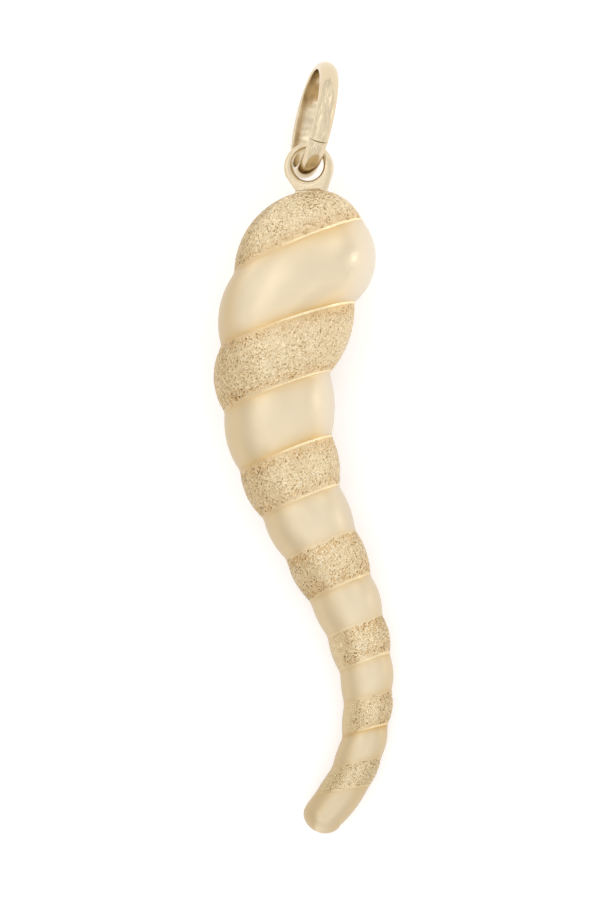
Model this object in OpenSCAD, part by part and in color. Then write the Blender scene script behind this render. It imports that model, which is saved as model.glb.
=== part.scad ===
// Gold horn pendant: a curved horn ringed by slanted grooves, with a soldered
// eyelet on its dome and a loose half-round jump ring through the eyelet.
// It lies on its back on the plane z = 0: the dome points along +Y, the tip along -Y.

/* [Horn] */
// Length of the horn along Y, from the dome to the tip (mm)
horn_length = 48.3; // [44:0.1:53]
// Thickness from front to back, as a share of a round horn's
horn_roundness = 1; // [0.92:0.01:1.04]
// Swell of the bands between the grooves, as a share of the usual swell
band_swell = 1; // [0.6:0.05:1.2]
// Lean of the grooves towards the dome at the front of the horn (degrees)
groove_lean = 5; // [0:0.5:8]
// Rows of facets along each band
rows_per_band = 6; // [4:1:6]
// Facets around the horn
facets_around = 64; // [32:8:64]

/* [Eyelet] */
// Outer radius of the eyelet (mm)
eyelet_r = 1.85; // [1.75:0.05:1.9]
// Radius of the hole in the eyelet (mm)
eyelet_hole_r = 1.2; // [1.15:0.01:1.25]
// Thickness of the eyelet along its hole (mm)
eyelet_t = 1.1; // [1:0.05:1.15]
// Turn of the eyelet about the horn's length (degrees)
eyelet_turn = 8; // [0:1:10]

/* [Jump ring] */
// Outer diameter of the jump ring (mm)
ring_d = 9; // [8.8:0.05:9.2]
// Width of its half-round wire (mm)
wire_w = 1.45; // [1.2:0.05:1.45]
// Thickness of its half-round wire (mm)
wire_t = 0.75; // [0.65:0.05:0.8]
// Lean of the ring to the side, away from the horn's length (degrees)
ring_lean = 12.5; // [10:0.5:13]
// Tilt of the ring from upright (degrees)
ring_tilt = 10.5; // [8:0.5:12]

/* [Hidden] */
gold = [0.91, 0.80, 0.58];

// Each row is a section along a groove, from the dome to the tip, in mm on a horn of drawn_length.
// Columns: x and y of its middle, half its width, its slant in degrees (right end up is positive),
// and the swell of the band that follows it, on the right and on the left.
// The first row is the pole of the dome. The last is the start of the round tip, with no groove.
drawn_length = 48.3;
grooves = [
  [ 0.57, 19.25, 0.00,   0.0, 0.76, 1.68],
  [-0.42, 15.00, 5.20,  22.5, 1.30, 0.65],
  [-1.20,  9.30, 5.25,  18.5, 0.58, 0.72],
  [-2.00,  4.15, 4.20,  21.0, 0.32, 0.44],
  [-1.35, -0.40, 3.68,  22.0, 0.32, 0.42],
  [-0.20, -4.10, 3.08,  23.0, 0.24, 0.28],
  [ 1.27, -7.28, 2.80,  23.5, 0.32, 0.30],
  [ 2.75,-10.60, 2.45,  24.0, 0.28, 0.15],
  [ 3.85,-13.42, 2.20,  21.5, 0.30, 0.18],
  [ 4.60,-16.25, 1.98,  21.0, 0.24, 0.08],
  [ 4.82,-18.82, 1.84,  16.5, 0.27, 0.10],
  [ 4.60,-21.40, 1.75,  16.0, 0.20, 0.08],
  [ 4.00,-23.70, 1.87,  11.5, 0.17, 0.03],
  [ 2.80,-25.92, 2.12,   9.9, 0.18, 0.04],
  [ 1.43,-27.80, 1.50, -26.0, 0.00, 0.00]
];
GX = 0;
GY = 1;
HALF = 2;
SLANT = 3;
SWELL_RIGHT = 4;
SWELL_LEFT = 5;

size = horn_length / drawn_length;
last_row = len(grooves) - 1;
tip_reach = 1.25;         // from the last row to the end of the tip
// Height of the horn's axis over the plane it lies on. Columns: y and the height there.
axis_heights = [[-28, 1.74], [-19, 1.86], [6, 4.78], [19.5, 6.07]];

RIGHT = 1;
LEFT = -1;

// End of section n on one side, in the plane
function section_end(n, side) = let (g = grooves[n])
  [g[GX], g[GY]] + side * g[HALF] * [cos(g[SLANT]), sin(g[SLANT])];

// Point a share f along the arc from p to q that swells out by h on one side
function swollen_arc(p, q, h, side, f) = let (
    chord = q - p,
    along = chord / norm(chord),
    out = side * [-along[1], along[0]],
    half_turn = 2 * atan(2 * h / norm(chord)),
    a = half_turn * (2 * f - 1)
  ) h < 0.001 ? p + f * chord
  : (p + q) / 2 + norm(chord) / (2 * sin(half_turn)) * (sin(a) * along + (cos(a) - cos(half_turn)) * out);

// Heading of the horn at the last row, square to it, towards the tip
tip_heading = let (s = grooves[last_row][SLANT]) [sin(s), -cos(s)];

// Edge of the horn at u, where whole numbers are the rows of the table
function edge(u, side) = u >= last_row
  ? let (a = 90 * (u - last_row), g = grooves[last_row])
    [g[GX], g[GY]] + side * cos(a) * g[HALF] * [cos(g[SLANT]), sin(g[SLANT])] + sin(a) * tip_reach * tip_heading
  : let (n = floor(u), swell = grooves[n][side == RIGHT ? SWELL_RIGHT : SWELL_LEFT] * band_swell)
    swollen_arc(section_end(n, side), section_end(n + 1, side), swell, side, u - n);

// Share of a section's half width that is the horn's true radius, because the section is slanted
function squareness(n) = let (
    k = min(max(n, 1), last_row),
    before = grooves[k - 1],
    after = grooves[min(k + 1, last_row)],
    heading = atan2(after[GX] - before[GX], before[GY] - after[GY])
  ) k == last_row ? 1 : cos(grooves[k][SLANT] - heading);

function mix(a, b, f) = a + (b - a) * f;

// Section of the horn at u, as a ring of points
function section(u) = let (
    right = edge(u, RIGHT),
    left = edge(u, LEFT),
    middle = (right + left) / 2,
    half = (right - left) / 2,
    n = min(floor(u), last_row),
    depth = horn_roundness * norm(half) * mix(squareness(n), squareness(n + 1), u - n),
    lean = tan(groove_lean) * depth * [-half[1], half[0]] / norm(half),
    height = lookup(middle[1], axis_heights)
  ) [for (i = [0:facets_around - 1]) let (
      a = 360 * i / facets_around,
      flat = middle + cos(a) * half + sin(a) * lean
    ) size * [flat[0], flat[1], height + sin(a) * depth]];

// Every section but the two poles, where the width is nothing
row_count = rows_per_band * (last_row + 1);
sections = [for (k = [1:row_count - 1]) section(k / rows_per_band)];
dome_pole = size * [grooves[0][GX], grooves[0][GY], lookup(grooves[0][GY], axis_heights)];
tip_point = edge(last_row + 1, RIGHT);
tip_pole = size * [tip_point[0], tip_point[1], lookup(tip_point[1], axis_heights)];

// Skin over rings of points, closed by a fan of facets to a pole at each end
module skin(rings, first_pole, last_pole) {
  around = len(rings[0]);
  count = len(rings);
  points = concat([first_pole], [for (r = rings) each r], [last_pole]);
  last = len(points) - 1;
  function at(k, i) = 1 + k * around + i % around;
  polyhedron(points, concat(
    [for (i = [0:around - 1]) [0, at(0, i), at(0, i + 1)]],
    [for (k = [0:count - 2], i = [0:around - 1]) each [
      [at(k, i), at(k + 1, i), at(k + 1, i + 1)],
      [at(k, i), at(k + 1, i + 1), at(k, i + 1)]]],
    [for (i = [0:around - 1]) [last, at(count - 1, i + 1), at(count - 1, i)]]));
}

eyelet_offset = 0.2;      // the outer round sits this much nearer the horn than the hole
eyelet_shift = -0.2;      // and both this much to the left of the neck
hole_above_dome = 1.93;   // height of the hole's middle over the pole of the dome
neck_w = 2.35;            // width of the eyelet's neck where it meets the dome
neck_sink = 0.7;          // how deep the neck goes into the dome
collar_r = 1.35;          // round foot of the neck
collar_h = 0.3;
edge_break = 0.2;         // bevel on the eyelet's outer edges

module eyelet() {
  outer_y = hole_above_dome - eyelet_offset;
  translate(dome_pole) rotate([0, -eyelet_turn, 0]) difference() {
    union() {
      translate([eyelet_shift, outer_y, 0]) {
        cylinder(r = eyelet_r, h = eyelet_t - 2 * edge_break, center = true, $fn = 64);
        for (side = [-1, 1]) translate([0, 0, side * (eyelet_t / 2 - edge_break)])
          rotate([side > 0 ? 0 : 180, 0, 0])
            cylinder(r1 = eyelet_r, r2 = eyelet_r - edge_break, h = edge_break, $fn = 64);
      }
      linear_extrude(eyelet_t - 2 * edge_break, center = true)
        polygon([[-neck_w / 2, -neck_sink], [neck_w / 2, -neck_sink], [neck_w / 2, 0],
                 [eyelet_shift + eyelet_r * cos(20), outer_y - eyelet_r * sin(20)],
                 [eyelet_shift - eyelet_r * cos(20), outer_y - eyelet_r * sin(20)], [-neck_w / 2, 0]]);
      translate([0, collar_h - 0.15, 0]) rotate([90, 0, 0])
        cylinder(r1 = collar_r - 0.15, r2 = collar_r + 0.15, h = collar_h + neck_sink, $fn = 64);
    }
    translate([eyelet_shift, hole_above_dome, 0]) cylinder(r = eyelet_hole_r, h = 3 * eyelet_t, center = true, $fn = 64);
  }
}

// The horn and its eyelet are soldered into one piece
module horn() {
  color(gold) {
    skin(sections, dome_pole, tip_pole);
    eyelet();
  }
}

ring_middle = [0.79, 24.63];    // middle of the jump ring, as seen from above
ring_clear = 0.02;              // the ring stands this much clear of the plane
crown_r = 0.8;                  // of the wire's rounded outside

module jump_ring() {
  outer = ring_d / 2;
  rest = (outer - crown_r) * cos(ring_tilt) + crown_r + ring_clear;
  color(gold) translate([ring_middle[0], ring_middle[1], rest])
    rotate([0, 0, -ring_lean]) rotate([0, 90 + ring_tilt, 0])
      rotate_extrude($fn = 96) intersection() {
        translate([outer - crown_r, 0]) circle(crown_r, $fn = 64);
        translate([outer - wire_t, -wire_w / 2]) square([wire_t, wire_w]);
      }
}

horn();
jump_ring();
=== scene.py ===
import math
from collections import namedtuple

import bmesh
import bpy
from mathutils import Matrix, Vector, noise


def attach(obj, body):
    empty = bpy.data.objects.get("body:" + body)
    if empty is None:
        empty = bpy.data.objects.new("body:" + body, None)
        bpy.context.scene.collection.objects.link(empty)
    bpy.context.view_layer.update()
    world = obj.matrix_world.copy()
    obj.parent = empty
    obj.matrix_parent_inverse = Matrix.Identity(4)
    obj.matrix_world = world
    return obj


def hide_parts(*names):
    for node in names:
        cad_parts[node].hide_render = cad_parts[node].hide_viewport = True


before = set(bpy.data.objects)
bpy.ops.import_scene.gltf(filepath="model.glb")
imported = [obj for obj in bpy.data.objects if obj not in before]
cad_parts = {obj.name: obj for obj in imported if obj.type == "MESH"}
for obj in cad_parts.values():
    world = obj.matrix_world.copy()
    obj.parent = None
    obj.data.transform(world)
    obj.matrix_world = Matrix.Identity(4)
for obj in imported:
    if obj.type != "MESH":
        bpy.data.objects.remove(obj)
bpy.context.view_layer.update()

mm = 0.001    # the pieces are modelled in millimetres and brought to metres at the end
tiny = 0.001  # mm; nothing smaller counts
noise.seed_set(5)    # without it the struck grain would come out a little different in each run


# an sRGB code as the linear numbers that the sockets take
def linearColour(hexCode):
    parts = [int(hexCode[i:i + 2], 16) / 255 for i in (1, 3, 5)]
    return [c / 12.92 if c <= 0.04045 else ((c + 0.055) / 1.055) ** 2.4 for c in parts] + [1.0]


# a node of a material or of the world; a key of settings is a socket or, failing that, a property
def addNode(owner, kind, settings=None, links=None):
    node = owner.node_tree.nodes.new(kind)
    for name, value in (settings or {}).items():
        if isinstance(name, int) or name in node.inputs:
            node.inputs[name].default_value = value
        else:
            setattr(node, name, value)
    for name, output in (links or {}).items():
        owner.node_tree.links.new(output, node.inputs[name])
    return node


def smoothStep(low, high, value):
    share = min(max((value - low) / (high - low), 0), 1)
    return share * share * (3 - 2 * share)


def blend(a, b, share):
    return a + (b - a) * share


# Camera: straight above, as the photo was taken

camera = {
    "distance": 0.5,               # metres, over the plane below
    "overTable": 5 * mm,           # height of the plane that the picture's scale is true for
    "middle": (-0.29 * mm, -0.15 * mm),
    "pictureHeight": 67.5 * mm,    # how much of that plane it shows from top to bottom
    "sensor": 36,
    "clip": (0.01, 20),
}


def placeCamera():
    lens = bpy.data.cameras.new("Camera")
    lens.sensor_width = camera["sensor"]
    lens.lens = camera["sensor"] * camera["distance"] / camera["pictureHeight"]
    lens.clip_start, lens.clip_end = camera["clip"]
    seen = bpy.data.objects.new("Camera", lens)
    seen.location = (*camera["middle"], camera["overTable"] + camera["distance"])
    bpy.context.scene.collection.objects.link(seen)
    bpy.context.scene.camera = seen


placeCamera()
print("camera is placed")


# Light: a pale tent, three soft lamps and a ring of small ones that wake the sparkle

light = {
    "colour": "#FAFBFF",         # daylight, a little cool
    # the tent's brightness by height, from its foot at 0 to its top at 1
    "tent": [(0.0, 1.05), (0.35, 1.11), (0.80, 1.14), (0.97, 1.12)],
    "spotScale": 12,             # a noise with about this many swells to a radian
    "spotEdge": (0.58, 0.62),    # its crests are small bright spots, which begin between these values
    "spotGlow": 1.60,            # as a share of the tent's own brightness
    "betweenGlow": 0.865,
    "floorColour": "#E6E4E1",
    "floorRoughness": 0.9,
    "floorGlow": 0.42,
    "floorWidth": 3,             # metres
}
# name: place in metres, width, watts
lamps = {
    "softBoxLeft": ((-0.40, 0.05, 0.70), 0.50, 0.12),
    "softBoxRight": ((0.52, 0.43, 0.45), 0.30, 0.10),
    "lowRight": ((0.80, 0.02, 0.05), 0.16, 0.08),
}
# the ring of small lamps, every second one lower, in metres too
sparkle = {
    "count": 24,
    "radius": 0.5,
    "heights": (0.60, 0.40),
    "width": 0.05,
    "watts": 0.018,
    "rightDimmer": 0.6,    # those on the right side give up to this much less
}


def lightTent():
    world = bpy.data.worlds.new("PaleRoom")
    bpy.context.scene.world = world
    world.use_nodes = True
    background = world.node_tree.nodes["Background"]
    background.inputs["Color"].default_value = linearColour(light["colour"])
    direction = addNode(world, "ShaderNodeTexCoord").outputs["Generated"]
    height = addNode(world, "ShaderNodeSeparateXYZ", links={"Vector": direction}).outputs["Z"]
    glow = addNode(world, "ShaderNodeValToRGB", links={"Fac": height})
    stops = glow.color_ramp.elements
    for k, (place, strength) in enumerate(light["tent"]):
        stop = stops[k] if k < 2 else stops.new(place)    # a new ramp has two
        stop.position = place
        stop.color = (strength, strength, strength, 1)
    swells = addNode(world, "ShaderNodeTexNoise", {"Scale": light["spotScale"], "Detail": 0.0},
                     {"Vector": direction})
    low, high = light["spotEdge"]
    spots = addNode(world, "ShaderNodeMapRange",
                    {"From Min": low, "From Max": high,
                     "To Min": light["betweenGlow"], "To Max": light["spotGlow"]},
                    {"Value": swells.outputs["Fac"]})
    tent = addNode(world, "ShaderNodeMath", {"operation": "MULTIPLY"},
                   {0: glow.outputs["Color"], 1: spots.outputs["Result"]})
    world.node_tree.links.new(tent.outputs[0], background.inputs["Strength"])


# a round lamp that points at the piece
def hangLamp(name, place, width, watts):
    lamp = bpy.data.lights.new(name, "AREA")
    lamp.shape = "DISK"
    lamp.size = width
    lamp.energy = watts
    lamp.color = linearColour(light["colour"])[:3]
    box = bpy.data.objects.new(name, lamp)
    box.location = place
    box.rotation_euler = (-Vector(place)).to_track_quat("-Z", "Y").to_euler()
    bpy.context.scene.collection.objects.link(box)


def hangLamps():
    for name, (place, width, watts) in lamps.items():
        hangLamp(name, place, width, watts)
    radius = sparkle["radius"]
    for k in range(sparkle["count"]):
        angle = math.tau * (k + 0.5) / sparkle["count"]
        place = (radius * math.cos(angle), radius * math.sin(angle), sparkle["heights"][k % 2])
        watts = sparkle["watts"] * (1 - sparkle["rightDimmer"] * max(math.cos(angle), 0))
        hangLamp(f"sparkle{k + 1}", place, sparkle["width"], watts)


# matt white card with a faint glow of its own, so that it stays white round the piece
def layFloor():
    material = bpy.data.materials.new("WhiteCard")
    material.use_nodes = True
    shader = material.node_tree.nodes["Principled BSDF"]
    shader.inputs["Base Color"].default_value = linearColour(light["floorColour"])
    shader.inputs["Roughness"].default_value = light["floorRoughness"]
    shader.inputs["Emission Color"].default_value = linearColour(light["floorColour"])
    shader.inputs["Emission Strength"].default_value = light["floorGlow"]
    bm = bmesh.new()
    bmesh.ops.create_grid(bm, x_segments=1, y_segments=1, size=light["floorWidth"] / 2)
    mesh = bpy.data.meshes.new("floor")
    bm.to_mesh(mesh)
    bm.free()
    mesh.materials.append(material)
    floor = bpy.data.objects.new("floor", mesh)
    bpy.context.scene.collection.objects.link(floor)


lightTent()
hangLamps()
layFloor()
bpy.context.scene.view_settings.view_transform = "Standard"
print("lights and floor are placed")


# Materials: three finishes of the same yellow gold

def newMetal(name, look):
    material = bpy.data.materials.new(name)
    material.use_nodes = True
    material.node_tree.nodes.clear()
    shader = addNode(material, "ShaderNodeBsdfPrincipled",
                     {"Base Color": linearColour(look["colour"]), "Metallic": 1.0,
                      "Roughness": look["roughness"]})
    addNode(material, "ShaderNodeOutputMaterial", links={"Surface": shader.outputs["BSDF"]})
    place = addNode(material, "ShaderNodeTexCoord").outputs["Object"]
    return material, shader, place


def connect(material, output, shader, socket):
    material.node_tree.links.new(output, shader.inputs[socket])


# one of the values that the horn's points carry, see layerNames
def layerValue(material, name):
    return addNode(material, "ShaderNodeAttribute", {"attribute_name": name}).outputs["Fac"]


def noisePattern(material, place, size, detail):
    return addNode(material, "ShaderNodeTexNoise", {"Scale": 1 / size, "Detail": detail},
                   {"Vector": place}).outputs["Fac"]


# a value that ran from 0 to 1 runs from low to high
def mapRange(material, value, low, high):
    return addNode(material, "ShaderNodeMapRange", {"To Min": low, "To Max": high},
                   {"Value": value}).outputs["Result"]


# painted shade and a painted reflection, mixed into the colour of both finishes of the horn
paintedLight = {
    "paintedShade": "#D8D0C0",   # painted shade: the darker, greyer gold on the flanks and towards the tip
    "paintedReflection": "#DBD1BF",   # painted reflection: the right margin washed out pale, as by the white room
}


# the gold's colour with painted light: painted shade in the hollows, on the flanks and towards the tip,
# and a painted reflection at the right margin
def goldWithPaintedLight(material, look):
    hollowShaded = addNode(material, "ShaderNodeMix",
                   {"data_type": "RGBA", 6: linearColour(look["colour"]),
                    7: linearColour(look["hollowShadeColour"])},
                   {0: layerValue(material, "paintedHollowShade")})
    reflectionPainted = addNode(material, "ShaderNodeMix", {"data_type": "RGBA", 7: linearColour(paintedLight["paintedReflection"])},
                     {0: layerValue(material, "paintedReflection"), 6: hollowShaded.outputs[2]})
    shadePainted = addNode(material, "ShaderNodeMix",
                    {"data_type": "RGBA", "blend_type": "MULTIPLY", 7: linearColour(paintedLight["paintedShade"])},
                    {0: layerValue(material, "paintedShade"), 6: reflectionPainted.outputs[2]})
    return shadePainted.outputs[2]


# yellow gold, polished and then satined with a soft wheel: pale, even, without sharp reflections
satinLook = {
    "colour": "#DECDAD",
    "hollowShadeColour": "#D2AC6A",   # painted shade in the grooves, deeper and warmer where light is blocked and bounces between the bands
    "roughness": 0.36,
    "cloudSize": 3 * mm,         # it is smoother and rougher by this much, in clouds of this size
    "cloudSpread": 0.05,
    "cloudDetail": 2.0,
    "wornRoughness": 0.25,       # where the fattest band rubs against cloth and skin
    "wheelTurn": 20,             # degrees; the wheel ran along the grooves
    "wheelStretch": 0.12,        # its marks' width as a share of their length
    "lineSize": 0.12 * mm,       # its own lines are 0.02 mm; drawn coarser, so that they show
    "lineDetail": 3.0,
    "lineStrength": 0.2,
    "lineHeight": 0.01 * mm,
    "rippleSize": 1.2 * mm,      # and the faint unevenness that it leaves
    "rippleDetail": 1.0,
    "rippleHeight": 0.02 * mm,
}


def satinGold():
    material, shader, place = newMetal("SatinYellowGold", satinLook)
    connect(material, goldWithPaintedLight(material, satinLook), shader, "Base Color")
    clouds = noisePattern(material, place, satinLook["cloudSize"], satinLook["cloudDetail"])
    gloss = mapRange(material, clouds, satinLook["roughness"] - satinLook["cloudSpread"],
                     satinLook["roughness"] + satinLook["cloudSpread"])
    rubbed = addNode(material, "ShaderNodeMix", {"data_type": "FLOAT", 3: satinLook["wornRoughness"]},
                     {0: layerValue(material, "worn"), 2: gloss})
    connect(material, rubbed.outputs[0], shader, "Roughness")
    wheelWay = addNode(material, "ShaderNodeMapping",
                       {"Rotation": (0, 0, math.radians(-satinLook["wheelTurn"])),
                        "Scale": (satinLook["wheelStretch"], 1, 1)},
                       {"Vector": place}).outputs["Vector"]
    ripples = noisePattern(material, wheelWay, satinLook["rippleSize"], satinLook["rippleDetail"])
    uneven = addNode(material, "ShaderNodeBump", {"Strength": 1.0, "Distance": satinLook["rippleHeight"]},
                     {"Height": ripples})
    lines = noisePattern(material, wheelWay, satinLook["lineSize"], satinLook["lineDetail"])
    bump = addNode(material, "ShaderNodeBump",
                   {"Strength": satinLook["lineStrength"], "Distance": satinLook["lineHeight"]},
                   {"Height": lines, "Normal": uneven.outputs["Normal"]})
    connect(material, bump.outputs["Normal"], shader, "Normal")
    return material


# yellow gold struck all over with a diamond point: bright little facets with darker pits between, their
# shade partly painted in
struckLook = {
    "colour": "#E4D3B0",
    # painted shade in the grooves and at the bottom of the dimples
    "hollowShadeColour": "#CCA66B",
    "roughness": 0.36,           # where it is still satin
    "rimHighlightColour": "#FBEABF",      # the rims are burnished, and so thin that their highlight is painted in as a paler colour
    "rimRoughness": 0.20,
    "facetRoughness": 0.08,
    "fleckSize": 0.12 * mm,      # of the smallest facets, each leaning its own way
    "fleckLean": 0.9,
}


# every cell of the pattern is a plane that leans by the cell's own random colour
def fleckHeight(material, place):
    flecks = addNode(material, "ShaderNodeTexVoronoi", {"Scale": 1 / struckLook["fleckSize"]},
                     {"Vector": place})
    across = addNode(material, "ShaderNodeVectorMath", {"operation": "SUBTRACT"},
                     {0: place, 1: flecks.outputs["Position"]})
    lean = addNode(material, "ShaderNodeVectorMath", {"operation": "SUBTRACT", 1: (0.5, 0.5, 0.5)},
                   {0: flecks.outputs["Color"]})
    height = addNode(material, "ShaderNodeVectorMath", {"operation": "DOT_PRODUCT"},
                     {0: across.outputs[0], 1: lean.outputs[0]})
    return height.outputs["Value"]


def struckGold():
    material, shader, place = newMetal("DiamondStruckYellowGold", struckLook)
    rim = layerValue(material, "rim")
    grain = layerValue(material, "grain")
    # painted highlight: the burnished rims are drawn in a paler colour
    rimHighlighted = addNode(material, "ShaderNodeMix",
                        {"data_type": "RGBA", 7: linearColour(struckLook["rimHighlightColour"])},
                        {0: rim, 6: goldWithPaintedLight(material, struckLook)})
    connect(material, rimHighlighted.outputs[2], shader, "Base Color")
    smooth = mapRange(material, rim, struckLook["roughness"], struckLook["rimRoughness"])
    gloss = addNode(material, "ShaderNodeMix", {"data_type": "FLOAT", 3: struckLook["facetRoughness"]},
                    {0: grain, 2: smooth})
    connect(material, gloss.outputs[0], shader, "Roughness")
    height = addNode(material, "ShaderNodeMath", {"operation": "MULTIPLY"},
                     {0: fleckHeight(material, place), 1: grain})
    bump = addNode(material, "ShaderNodeBump", {"Strength": struckLook["fleckLean"], "Distance": 1.0},
                   {"Height": height.outputs[0]})
    connect(material, bump.outputs["Normal"], shader, "Normal")
    return material


# yellow gold, drawn or cast and polished bright: clear but softened reflections, with faint handling marks
polishedLook = {
    "colour": "#D4C3A3",
    "roughness": 0.17,
    "wearSize": 0.8 * mm,
    "wearDetail": 5.0,
    "wearSmoother": 0.04,      # wear makes it up to this much smoother here, and this much rougher there
    "wearRougher": 0.08,
    "wearStrength": 0.15,
    "wearHeight": 0.02 * mm,
}


def polishedGold():
    material, shader, place = newMetal("PolishedYellowGold", polishedLook)
    wear = noisePattern(material, place, polishedLook["wearSize"], polishedLook["wearDetail"])
    gloss = mapRange(material, wear, polishedLook["roughness"] - polishedLook["wearSmoother"],
                     polishedLook["roughness"] + polishedLook["wearRougher"])
    connect(material, gloss, shader, "Roughness")
    bump = addNode(material, "ShaderNodeBump",
                   {"Strength": polishedLook["wearStrength"], "Distance": polishedLook["wearHeight"]},
                   {"Height": wear})
    connect(material, bump.outputs["Normal"], shader, "Normal")
    return material


finishes = {"gold_satin": satinGold(), "gold_textured": struckGold(), "gold_polished": polishedGold()}
print("three gold finishes are made")


# brings a piece to metres, gives it its finish and hands it over in place of its CAD node
def finishPiece(bm, name, slot, node):
    bmesh.ops.recalc_face_normals(bm, faces=bm.faces)
    bmesh.ops.scale(bm, vec=(mm, mm, mm), verts=bm.verts)
    for face in bm.faces:
        face.smooth = True
    mesh = bpy.data.meshes.new(name)
    bm.to_mesh(mesh)
    bm.free()
    mesh.materials.append(finishes[slot])
    piece = bpy.data.objects.new(name, mesh)
    bpy.context.scene.collection.objects.link(piece)
    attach(piece, "root")
    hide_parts(node)
    print(name, sum(len(face.vertices) - 2 for face in mesh.polygons), "triangles")


# Horn: rings lofted from groove to groove, a struck band and a satin band by turns

horn = {
    # a row for each groove, from the dome to the tip: x and y of its middle and half its width in mm,
    # its slant in degrees, the swell of the band after it on the right and on the left in mm,
    # and how strong its polished rim and the painted shade beside it are
    "grooves": [
        (0.57, 19.25, 0.00, 0.0, 0.76, 1.68, 0, 0),
        (-0.42, 15.00, 5.20, 22.5, 1.30, 0.65, 1, 0.8),
        (-1.20, 9.30, 5.25, 18.5, 0.58, 0.72, 1, 1),
        (-2.00, 4.15, 4.20, 21.0, 0.32, 0.44, 0.9, 0.7),
        (-1.35, -0.40, 3.68, 22.0, 0.32, 0.42, 0.9, 1),
        (-0.20, -4.10, 3.08, 23.0, 0.24, 0.28, 0.7, 0.6),
        (1.27, -7.28, 2.80, 23.5, 0.32, 0.30, 0.1, 0.3),
        (2.75, -10.60, 2.45, 24.0, 0.28, 0.15, 0.4, 0.6),
        (3.85, -13.42, 2.20, 21.5, 0.30, 0.18, 0, 0.2),
        (4.60, -16.25, 1.98, 21.0, 0.24, 0.08, 0.6, 0.5),
        (4.82, -18.82, 1.84, 16.5, 0.27, 0.10, 0, 0.4),
        (4.60, -21.40, 1.75, 16.0, 0.20, 0.08, 0.7, 1),
        (4.00, -23.70, 1.87, 11.5, 0.17, 0.03, 0, 0.3),
        (2.80, -25.92, 2.12, 9.9, 0.18, 0.04, 0.1, 0.3),
        (1.43, -27.80, 1.50, -26.0, 0.00, 0.00, 0, 0),    # no groove: the round tip starts here
    ],
    "tipReach": 1.25,
    "axisHeights": [(-28, 1.74), (-19, 1.86), (6, 4.78), (19.5, 6.07)],    # y, height over the table
    "grooveLean": 5,                   # degrees by which each ring leans towards the dome at the front
    "satinSpacing": 0.12,              # mm between neighbouring points
    "struckSpacing": (0.057, 0.04),    # at the dome and at the tip
    "grooveSpacing": 0.03,             # beside a groove, growing by this share of the way from it
    "spacingGrowth": 0.25,
    "poleGap": 0.01,                   # of a row; no ring stands nearer to a pole
    "filletHeight": 0.06,              # the grooves are rounded out at the bottom, over this width
    "filletWidth": 0.12,
    "rimHeight": 0.03,                 # a struck band ends in a low polished rim, its crest this far in
    "rimCrest": 0.12,
    "rimWidth": 0.08,
    "rimUneven": 0.5,                  # it comes and goes by this share, in patches of this size
    "rimPatch": 1.5,
    # rims and the painted shade beside the grooves face this way, in degrees round from the right side to
    # the front;
    # what points there faces it by 1, and what points away from it by 0
    "rimSide": 40,
    "rimEnds": (0.65, 0.95),           # a rim grows from nothing to full between these facings
    "backCreaseShade": 0.35,                # strength of the painted groove shade at facing 0
    # share of a band's length in which the painted shade beside a groove fades, at facing 0 and 1
    "hollowShadeShare": (0.04, 0.11),
    "struckHollowShadeShare": (0.07, 0.16),
    # the flanks' painted shade by row: share, and from where to where, with the front at 0 and the side at
    # 1
    "paintedShadeLeft": [(1.8, 0.85, 0.60, 0.88), (2.6, 0.75, 0.10, 0.85),
                 (5.5, 0.75, 0.05, 0.75), (7, 0.72, 0, 0.50)],
    "paintedShadeRight": [(4, 0, 0.5, 0.9), (5.5, 0.35, 0.5, 0.9), (10, 0.5, 0.2, 0.9)],
    "paintedShadeTip": [(9, 0), (14, 0.35)],             # and the painted shade all round: row, share
    "paintedReflection": [(6, 0.7, 0.6, 1), (9, 0, 0.6, 1)],  # how strongly a painted reflection washes out a satin band's right margin
    "wornSwell": (0.5, 1.0),                     # mm of a band's swell, where rubbing begins and is full
}
grooveRow = namedtuple("grooveRow", "x y half slant swellRight swellLeft rim crease")
grooves = [grooveRow(*row) for row in horn["grooves"]]
lastRow = len(grooves) - 1
tipEnd = lastRow + 1
bandPairs = lastRow // 2
farAway = 99    # mm to a groove that isn't there

# each point of a band carries these, from 0 to 1: painted shade in grooves and dimples, painted shade on
# the flanks, the painted reflection on the right margin, rubbed metal, a polished rim, and how strongly it
# is struck
layerNames = ("paintedHollowShade", "paintedShade", "paintedReflection", "worn", "rim", "grain")


def sectionHalf(row):
    slant = math.radians(grooves[row].slant)
    return Vector((math.cos(slant), math.sin(slant))) * grooves[row].half


def sectionEnd(row, side):
    return Vector((grooves[row].x, grooves[row].y)) + side * sectionHalf(row)


def swollenArc(start, end, swell, side, share):
    chord = end - start
    if swell < tiny:
        return start + share * chord
    along = chord.normalized()
    out = side * Vector((-along.y, along.x))
    halfTurn = 2 * math.atan(2 * swell / chord.length)
    angle = halfTurn * (2 * share - 1)
    reach = math.sin(angle) * along + (math.cos(angle) - math.cos(halfTurn)) * out
    return (start + end) / 2 + chord.length / (2 * math.sin(halfTurn)) * reach


# the horn's outline at u, where whole numbers are the rows; side is 1 on the right and -1 on the left
def edgePoint(u, side):
    if u >= lastRow:
        slant = math.radians(grooves[lastRow].slant)
        heading = Vector((math.sin(slant), -math.cos(slant)))
        angle = (u - lastRow) * math.pi / 2
        middle = Vector((grooves[lastRow].x, grooves[lastRow].y))
        return (middle + side * math.cos(angle) * sectionHalf(lastRow)
                + math.sin(angle) * horn["tipReach"] * heading)
    row = int(u)
    swell = grooves[row].swellRight if side > 0 else grooves[row].swellLeft
    return swollenArc(sectionEnd(row, side), sectionEnd(row + 1, side), swell, side, u - row)


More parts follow.
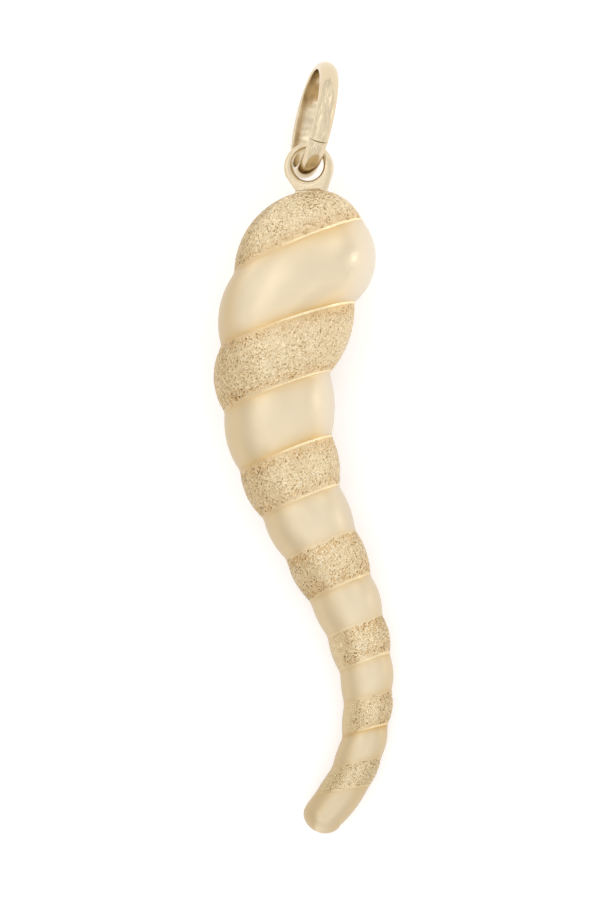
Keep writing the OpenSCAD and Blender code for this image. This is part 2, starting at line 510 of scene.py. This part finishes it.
# the horn's true radius as a share of a slanted section's half width
def squareness(row):
    if row >= lastRow:
        return 1
    row = max(row, 1)
    before, after = grooves[row - 1], grooves[row + 1]
    heading = math.atan2(after.x - before.x, before.y - after.y)
    return math.cos(math.radians(grooves[row].slant) - heading)


# the columns of a table at a place between two of its rows
def tableAt(table, place):
    for before, after in zip(table, table[1:]):
        if place <= after[0]:
            share = max((place - before[0]) / (after[0] - before[0]), 0)
            return [blend(a, b, share) for a, b in zip(before[1:], after[1:])]
    return table[-1][1:]


def shareOnSide(table, u, side):
    strength, low, high = tableAt(table, u)
    return strength * smoothStep(low, high, side)


# the ring round the horn at u, as a turned and stretched unit circle
def sectionMatrix(u):
    right, left = edgePoint(u, 1), edgePoint(u, -1)
    middle, half = (right + left) / 2, (right - left) / 2
    row = min(int(u), lastRow)
    depth = half.length * blend(squareness(row), squareness(row + 1), u - row)
    lean = math.tan(math.radians(horn["grooveLean"])) * depth
    across = half.normalized()
    toRight = Vector((half.x, half.y, 0))
    toFront = Vector((-lean * across.y, lean * across.x, depth))
    turned = Matrix((toRight, toFront, Vector((0, 0, 1)))).transposed().to_4x4()
    height = tableAt(horn["axisHeights"], middle.y)[0]
    return Matrix.Translation((middle.x, middle.y, height)) @ turned


def bandLength(start, side):
    steps = 8
    points = [edgePoint(start + k / steps, side) for k in range(steps + 1)]
    return sum((b - a).length for a, b in zip(points, points[1:]))


# where the rings stand from one groove to the next, closer together beside a groove
def bandStops(start, end, spacing):
    length = max(bandLength(start, 1), bandLength(start, -1))
    stops = [start]
    while stops[-1] < end:
        place = stops[-1] - start
        toGroove = min(place, max(end - start - place, 0)) * length
        step = min(spacing, horn["grooveSpacing"] + horn["spacingGrowth"] * toGroove)
        stops.append(stops[-1] + step / length)
    stretch = (end - start) / (stops[-1] - start)
    stops = [start + (u - start) * stretch for u in stops]
    if start == 0:
        stops = [u for u in stops if u > horn["poleGap"]]
    if end == tipEnd:
        stops = [u for u in stops if u < tipEnd - horn["poleGap"]]
    return stops


def loftBand(bm, start, end, spacing):
    stops = bandStops(start, end, spacing)
    widest = max((edgePoint(u, 1) - edgePoint(u, -1)).length for u in stops)
    segments = int(widest * math.pi / spacing / 4) * 4    # so that points lie at the front and the sides
    here = sectionMatrix(stops[0])
    rings = [bmesh.ops.create_circle(bm, segments=segments, radius=1, matrix=here)["verts"]]
    edges = list(bm.edges)
    for u in stops[1:]:
        grown = bmesh.ops.extrude_edge_only(bm, edges=edges)["geom"]
        edges = [part for part in grown if isinstance(part, bmesh.types.BMEdge) and part.is_boundary]
        rings.append([part for part in grown if isinstance(part, bmesh.types.BMVert)])
        there = sectionMatrix(u)
        bmesh.ops.transform(bm, matrix=there @ here.inverted(), verts=rings[-1])
        here = there
    return stops, rings


# how far along the band each ring's points lie
def reachAlong(rings):
    reach = [[0.0] * len(rings[0])]
    for before, after in zip(rings, rings[1:]):
        reach.append([done + (b.co - a.co).length for done, a, b in zip(reach[-1], before, after)])
    return reach


# a point of a band: its vertex, the middle of its ring, its place along the horn, how far it points to the
# right (1 to -1) and to rimSide (1 to 0), its way from the band's start and the whole band's length there,
# its distance from the nearer groove, and that groove's row
bandPoint = namedtuple("bandPoint", "vert middle u side facing gone whole distance groove")


def bandPoints(stops, rings, start, end):
    reach = reachAlong(rings)
    points = []
    for u, ring, gone in zip(stops, rings, reach):
        middle = sectionMatrix(u).translation
        for i, vert in enumerate(ring):
            angle = math.pi / 2 + math.tau * i / len(ring)    # from the right side, over the front
            side = math.cos(angle)
            facing = 0.5 + 0.5 * math.cos(angle - math.radians(horn["rimSide"]))
            whole = reach[-1][i]
            fromStart = gone[i] if start > 0 else farAway
            fromEnd = whole - gone[i] if end <= lastRow else farAway
            distance = min(fromStart, fromEnd)
            groove = grooves[start if fromStart <= fromEnd else min(end, lastRow)]
            points.append(bandPoint(vert, middle, u, side, facing, gone[i], whole, distance, groove))
    return points


# the grooves are rounded out at the bottom, and a struck band ends in a rim
def carveGrooves(bm, points, struck):
    rim = bm.verts.layers.float["rim"]
    for point in points:
        vert = point.vert
        push = horn["filletHeight"] * math.exp(-point.distance / horn["filletWidth"])
        if struck:
            fromCrest = (point.distance - horn["rimCrest"]) / horn["rimWidth"]
            faced = smoothStep(*horn["rimEnds"], point.facing)
            vert[rim] = point.groove.rim * faced * math.exp(-fromCrest ** 2)
            vert[rim] *= 1 + horn["rimUneven"] * noise.noise(vert.co / horn["rimPatch"])
            push += horn["rimHeight"] * vert[rim]
        vert.co += push * (vert.co - point.middle).normalized()


# painted shade beside a groove, on the flanks and towards the tip, a painted reflection at the right
# margin, and rubbed metal
def shadeBand(bm, points, struck):
    paintedHollowShade, paintedShade, paintedReflection, worn = (bm.verts.layers.float[name] for name in ("paintedHollowShade", "paintedShade", "paintedReflection", "worn"))
    fades = horn["struckHollowShadeShare" if struck else "hollowShadeShare"]
    for point in points:
        vert, u, side = point.vert, point.u, point.side
        # painted shade beside the groove, strongest towards rimSide
        crease = point.groove.crease * blend(horn["backCreaseShade"], 1, point.facing)
        fade = point.whole * blend(*fades, point.facing)
        vert[paintedHollowShade] = crease * math.exp(-point.distance / fade)
        # painted shade on the flanks and towards the tip
        flanks = shareOnSide(horn["paintedShadeLeft"], u, -side) + shareOnSide(horn["paintedShadeRight"], u, side)
        vert[paintedShade] = min(flanks + tableAt(horn["paintedShadeTip"], u)[0], 1)
        # painted reflection on a satin band's right margin
        vert[paintedReflection] = 0 if struck else shareOnSide(horn["paintedReflection"], u, side)
        row = grooves[min(int(u), lastRow)]
        swell = max(side, 0) * row.swellRight + max(-side, 0) * row.swellLeft
        middleOfBand = math.sin(math.pi * point.gone / point.whole) ** 2
        vert[worn] = smoothStep(*horn["wornSwell"], swell) * middleOfBand


# a pole gets a fan of triangles, and the other ends a flat face with a sharp edge, hidden in the groove
def closeEnds(bm, rings, start, end):
    for ring, pole in ((rings[0], start == 0), (rings[-1], end == tipEnd)):
        corners = set(ring)
        edges = [edge for edge in bm.edges if edge.is_boundary and edge.verts[0] in corners]
        faces = bmesh.ops.holes_fill(bm, edges=edges)["faces"]
        if pole:
            bmesh.ops.poke(bm, faces=faces)
        else:
            for edge in edges:
                edge.smooth = False


def newBand():
    bm = bmesh.new()
    for name in layerNames:
        bm.verts.layers.float.new(name)
    return bm


def satinBand(name, start, end):
    bm = newBand()
    stops, rings = loftBand(bm, start, end, horn["satinSpacing"])
    points = bandPoints(stops, rings, start, end)
    carveGrooves(bm, points, False)
    shadeBand(bm, points, False)
    closeEnds(bm, rings, start, end)
    finishPiece(bm, name, "gold_satin", "horn")


strikes = {
    "size": (0.22, 0.15),    # mm between the struck dimples, at the dome and at the tip
    "depth": 0.06,           # mm, of the deepest
    "least": 0.3,            # and this share of it for the shallowest
    "bowl": 0.55,            # a dimple's radius as a share of the way to the next
    "tilt": 2.8,             # how steeply the dimples lean
    "sink": 0.15,            # and how far they all go down for it, as a share of that
    "shuffle": 91.7,         # another number deals the dimples' leans and depths anew
    "warp": 0.06,            # mm by which they are bent out of shape, and over what size
    "warpSize": 0.3,
    "patch": 1.2,            # mm; they are deeper and shallower in patches of this size, by this share
    "patchShare": 0.5,
    # painted shade at their bottom: how much deeper the gold's colour is drawn there, band by band
    "pitShades": [0.58, 0.74, 0.74, 0.78, 0.70, 0.38, 0.12],
    "clearMiddle": 0.55,     # and how much less of that in a band's middle
    "middle": (0.4, 1.5),    # mm from its grooves, where the middle begins and where it is reached
    "margin": (0.25, 0.6),   # mm from a groove to full grain, without a rim and with one
    "marginStart": 0.3,      # the grain begins this share of the way there
    "ragged": 0.7,           # unevenness of that, and its size
    "raggedSize": 0.5,
    # how far round to the left each band is struck, with the front at 0 and the side at 1; 3 is all round
    "leftEnds": [3, 3, 1.6, 1.4, 0.95, 0.85, 0.9],
    "leftFade": 0.6,         # it fades over this much before that
    "leftRagged": 0.4,       # and has this share of the other margins' unevenness
    "leftLeast": 0.22,       # the faint grain that goes on past it
}


# how deep a dimple lies under the band's own surface, as a share of the deepest
def strikeDepth(point, size):
    bent = point + strikes["warp"] * noise.noise_vector(point / strikes["warpSize"])
    spread = bent / size
    near, centres = noise.voronoi(spread)
    chance = noise.cell_vector(centres[0] * strikes["shuffle"])
    bowl = blend(strikes["least"], 1, chance.z) * max(1 - (near[0] / strikes["bowl"]) ** 2, 0)
    lean = strikes["tilt"] * (spread - centres[0]).dot(chance - Vector((0.5, 0.5, 0.5)))
    return max(bowl + lean + strikes["tilt"] * strikes["sink"], 0)


def strikeSurface(bm, points, band):
    paintedHollowShade, grain = (bm.verts.layers.float[name] for name in ("paintedHollowShade", "grain"))
    size = blend(*strikes["size"], band / (bandPairs - 1))
    leftEnd = strikes["leftEnds"][band]
    bm.normal_update()
    moves = []
    for point in points:
        vert = point.vert
        ragged = strikes["ragged"] * noise.noise(vert.co / strikes["raggedSize"])
        inward = point.distance / blend(*strikes["margin"], point.facing * point.groove.rim)
        vert[grain] = smoothStep(strikes["marginStart"], 1, inward + ragged)
        leftward = strikes["leftRagged"] * ragged - point.side
        faded = smoothStep(leftEnd - strikes["leftFade"], leftEnd, leftward)
        vert[grain] *= blend(1, strikes["leftLeast"], faded)
        if vert[grain] > 0:
            patch = 1 + strikes["patchShare"] * noise.noise(vert.co / strikes["patch"])
            depth = vert[grain] * patch * strikeDepth(vert.co, size)
            # painted shade at the bottom of each dimple, less in a band's middle
            cleared = strikes["clearMiddle"] * smoothStep(*strikes["middle"], point.distance)
            pitShade = strikes["pitShades"][band] * (1 - cleared)
            vert[paintedHollowShade] = max(vert[paintedHollowShade], pitShade * min(depth, 1))
            moves.append((vert, -vert.normal * strikes["depth"] * depth))
    for vert, move in moves:
        vert.co += move


def struckBand(name, start, end, band):
    bm = newBand()
    spacing = blend(*horn["struckSpacing"], band / (bandPairs - 1))
    stops, rings = loftBand(bm, start, end, spacing)
    points = bandPoints(stops, rings, start, end)
    carveGrooves(bm, points, True)
    shadeBand(bm, points, True)
    strikeSurface(bm, points, band)
    closeEnds(bm, rings, start, end)
    finishPiece(bm, name, "gold_textured", "horn")


for k in range(bandPairs):
    struckBand(f"textured_band_{k + 1}", 2 * k, 2 * k + 1, k)
    # the last satin band takes in the round tip
    satinBand(f"satin_band_{k + 1}", 2 * k + 1, 2 * k + 2 if k < bandPairs - 1 else tipEnd)
print("horn is lofted")


# Eyelet: a disc with a hole, fused to a round collar and a wedge that hold it on the dome

eyelet = {
    "dome": (0.57, 19.25, 6.05),   # where its neck's middle meets the horn, mm
    "turn": 8,                     # degrees about the horn's length
    "outerRadius": 1.85,
    "outerMiddle": (-0.2, 1.73),   # across and up from the dome
    "holeRadius": 1.19,
    "holeMiddle": (-0.25, 1.93),
    "roundSteps": 96,
    "thickness": 1.1,
    "edgeRound": 0.28,
    "edgeSteps": 4,
    "sharpAngle": 60,              # degrees; edges that turn by more are the rims that get rounded
    "neckWidth": 2.35,
    "neckSink": 0.7,
    "neckStart": 20,               # degrees below its middle where the round runs out into the neck
    "collarRadii": (1.32, 1.24),   # its foot and its top
    "collarSpan": (-0.50, -0.01),
    "collarSteps": 64,
    "peg": (1.3, 2.1),             # wedge that runs down over the dome: width, and depth at its foot
    "pegTop": 0.9,                 # its depth at the top, as a share of the disc's thickness
    "pegSpan": (-0.45, 0.25),
    "pegMiddle": 0.15,
    "fuse": 0.04,                  # mm; the solder rounds the joints to about this
    "smoothing": 12,
}


# the outline: round above, then two straight flanks and a neck that ends inside the dome
def eyeletOutline():
    x, y = eyelet["outerMiddle"]
    radius, sink, half = eyelet["outerRadius"], eyelet["neckSink"], eyelet["neckWidth"] / 2
    low = math.radians(eyelet["neckStart"])
    steps = eyelet["roundSteps"]
    turns = [-low + (math.pi + 2 * low) * k / steps for k in range(steps + 1)]
    outline = [(x + radius * math.cos(a), y + radius * math.sin(a)) for a in turns]
    return outline + [(-half, 0), (-half, -sink), (half, -sink), (half, 0)]


def eyeletDisc(bm):
    high = eyelet["thickness"] / 2
    outline = [bm.verts.new((x, y, -high)) for x, y in eyeletOutline()]
    for a, b in zip(outline, outline[1:] + outline[:1]):
        bm.edges.new((a, b))
    bmesh.ops.create_circle(bm, segments=eyelet["roundSteps"], radius=eyelet["holeRadius"],
                            matrix=Matrix.Translation((*eyelet["holeMiddle"], -high)))
    bmesh.ops.triangle_fill(bm, edges=bm.edges[:], use_beauty=True)
    grown = bmesh.ops.extrude_face_region(bm, geom=bm.faces[:])["geom"]
    top = [part for part in grown if isinstance(part, bmesh.types.BMVert)]
    bmesh.ops.translate(bm, vec=(0, 0, 2 * high), verts=top)
    bmesh.ops.recalc_face_normals(bm, faces=bm.faces)
    sharp = math.radians(eyelet["sharpAngle"])
    rims = [edge for edge in bm.edges if edge.calc_face_angle(0) > sharp]
    rims = [edge for edge in rims if abs(edge.verts[0].co.z - edge.verts[1].co.z) < tiny]
    bmesh.ops.bevel(bm, geom=rims, offset=eyelet["edgeRound"], offset_type="OFFSET", affect="EDGES",
                    segments=eyelet["edgeSteps"], profile=0.5, material=-1)


def addFoot(bm):
    wide, deep = eyelet["peg"]
    low, high = eyelet["pegSpan"]
    peg = bmesh.ops.create_cube(bm, size=1)["verts"]
    bmesh.ops.scale(bm, vec=(wide, high - low, deep), verts=peg)
    narrowed = [vert for vert in peg if vert.co.y > 0]
    bmesh.ops.scale(bm, vec=(1, 1, eyelet["pegTop"] * eyelet["thickness"] / deep), verts=narrowed)
    bmesh.ops.translate(bm, vec=(eyelet["pegMiddle"], (low + high) / 2, 0), verts=peg)
    foot, top = eyelet["collarRadii"]
    low, high = eyelet["collarSpan"]
    collar = bmesh.ops.create_cone(bm, cap_ends=True, segments=eyelet["collarSteps"],
                                   radius1=foot, radius2=top, depth=high - low)
    bmesh.ops.rotate(bm, matrix=Matrix.Rotation(math.radians(-90), 3, "X"), verts=collar["verts"])
    bmesh.ops.translate(bm, vec=(0, (low + high) / 2, 0), verts=collar["verts"])


def makeEyelet():
    bm = bmesh.new()
    eyeletDisc(bm)
    addFoot(bm)
    bmesh.ops.recalc_face_normals(bm, faces=bm.faces)
    mesh = bpy.data.meshes.new("eyeletParts")
    bm.to_mesh(mesh)
    bm.free()
    draft = bpy.data.objects.new("eyeletParts", mesh)
    bpy.context.scene.collection.objects.link(draft)
    fuse = draft.modifiers.new("Fuse", "REMESH")
    fuse.mode = "VOXEL"
    fuse.voxel_size = eyelet["fuse"]
    soften = draft.modifiers.new("Soften", "SMOOTH")
    soften.iterations = eyelet["smoothing"]
    bm = bmesh.new()
    bm.from_object(draft, bpy.context.evaluated_depsgraph_get())
    bpy.data.objects.remove(draft)
    turned = Matrix.Rotation(math.radians(-eyelet["turn"]), 4, "Y")
    bmesh.ops.transform(bm, matrix=Matrix.Translation(eyelet["dome"]) @ turned, verts=bm.verts)
    finishPiece(bm, "eyelet", "gold_polished", "horn")


makeEyelet()
print("eyelet is fused to its foot")


# Jump ring: half-round wire, spun round to an open butt joint

ring = {
    "middle": (0.79, 24.63),
    "diameter": 9,
    "wireWidth": 1.45,
    "wireThickness": 0.75,
    "crownRadius": 0.8,
    "crownSteps": 16,
    "cornerRound": 0.12,
    "cornerSteps": 4,
    "lean": 12.5,            # degrees to the right, away from the horn's length
    "tilt": 10.5,            # degrees from upright
    "clear": 0.02,           # of the table
    "steps": 240,
    "jointAt": 203,          # degrees round the ring to its joint
    "jointWidth": 0.045,
}


def ringFrame():
    outer = ring["diameter"] / 2
    tilt = math.radians(ring["tilt"])
    height = (outer - ring["crownRadius"]) * math.cos(tilt) + ring["crownRadius"] + ring["clear"]
    place = Matrix.Translation((*ring["middle"], height))
    leaned = Matrix.Rotation(math.radians(-ring["lean"]), 4, "Z")
    return place @ leaned @ Matrix.Rotation(math.pi / 2 + tilt, 4, "Y")


# the wire's section: flat inside, crowned outside, its four corners softened
def wireProfile(bm):
    outer = ring["diameter"] / 2
    crown, half = ring["crownRadius"], ring["wireWidth"] / 2
    inside = outer - ring["wireThickness"]
    reach = math.asin(half / crown)
    steps = ring["crownSteps"]
    arc = [reach - 2 * reach * k / steps for k in range(steps + 1)]
    points = [(inside, -half), (inside, half)]
    points += [(outer - crown + crown * math.cos(a), crown * math.sin(a)) for a in arc]
    verts = [bm.verts.new((x, 0, z)) for x, z in points]
    bm.faces.new(verts)
    bmesh.ops.bevel(bm, geom=verts[:3] + verts[-1:], offset=ring["cornerRound"], affect="VERTICES",
                    segments=ring["cornerSteps"], profile=0.5, material=-1)


def makeRing():
    bm = bmesh.new()
    wireProfile(bm)
    gap = math.degrees(ring["jointWidth"] / ring["diameter"] * 2)
    jointEdge = Matrix.Rotation(math.radians(ring["jointAt"] + gap / 2), 3, "Z")
    bmesh.ops.rotate(bm, matrix=jointEdge, verts=bm.verts)
    bmesh.ops.spin(bm, geom=bm.faces[:] + bm.edges[:] + bm.verts[:], axis=(0, 0, 1), cent=(0, 0, 0),
                   angle=math.radians(360 - gap), steps=ring["steps"])
    bmesh.ops.recalc_face_normals(bm, faces=bm.faces)
    bmesh.ops.transform(bm, matrix=ringFrame(), verts=bm.verts)
    finishPiece(bm, "jump_ring_wire", "gold_polished", "jump_ring")


makeRing()
print("jump ring is spun")
